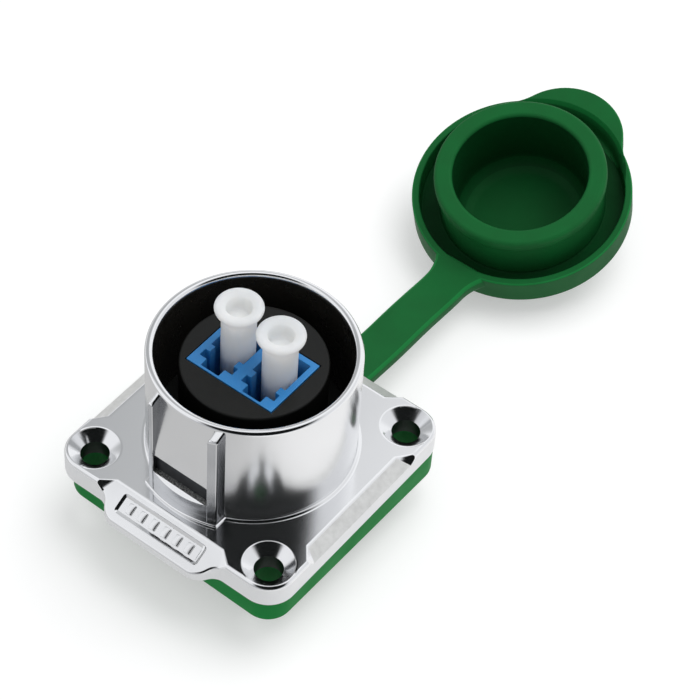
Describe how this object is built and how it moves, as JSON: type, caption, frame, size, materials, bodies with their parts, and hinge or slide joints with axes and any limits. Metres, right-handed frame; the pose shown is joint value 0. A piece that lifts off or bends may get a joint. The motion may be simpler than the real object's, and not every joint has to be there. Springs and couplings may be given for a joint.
{
  "type": "fibre optic socket",
  "caption": "Square-flange panel socket for a duplex fibre connector, with plated barrel and latch ramp, blue adapter, white dust plugs and a green tethered cap.",
  "frame": {"origin": "on the barrel's axis in the panel plane, at the underside of the gasket", "axes": "+Z out of the panel along the barrel, -Y towards the sloping front tab and the latch ramp, +Y along the strap to the cap"},
  "size_m": [0.0344, 0.0975, 0.0333],
  "materials": {
    "plated": "bright satin plating on a die casting",
    "black_moulding": "matt, polished in the bore",
    "black_rubber": "matt",
    "spring_steel": "oiled spring steel",
    "blue_moulding": "satin moulded",
    "white_moulding": "soft moulded, slightly milky",
    "zirconia": "ground ceramic",
    "screw_steel": "zinc plated",
    "green_rubber": "satin silicone rubber"
  },
  "bodies": {
    "socket": {"shell": "plated", "insert": "black_moulding", "insert_seal": "black_rubber", "retaining_ring": "spring_steel", "adapter_front": "blue_moulding", "adapter_rear": "blue_moulding", "sleeve_left": "zirconia", "sleeve_right": "zirconia", "dust_plug_left": "white_moulding", "dust_plug_right": "white_moulding", "rear_retainer": "black_moulding", "retainer_screw_left": "screw_steel", "retainer_screw_right": "screw_steel", "gasket": "green_rubber"},
    "strap": {"strap": "green_rubber"},
    "cap": {"cap": "green_rubber"}
  },
  "joints": [
    {"name": "strap_fold", "type": "hinge", "parent": "socket", "child": "strap", "pos_m": [0, 0.01965, 0.001], "axis": [1, 0, 0], "range_deg": [0, 103.32]},
    {"name": "cap_turn", "type": "hinge", "parent": "strap", "child": "cap", "pos_m": [0, 0.04284, -0.00115], "axis": [1, 0, 0], "range_deg": [0, 62.18]}
  ]
}
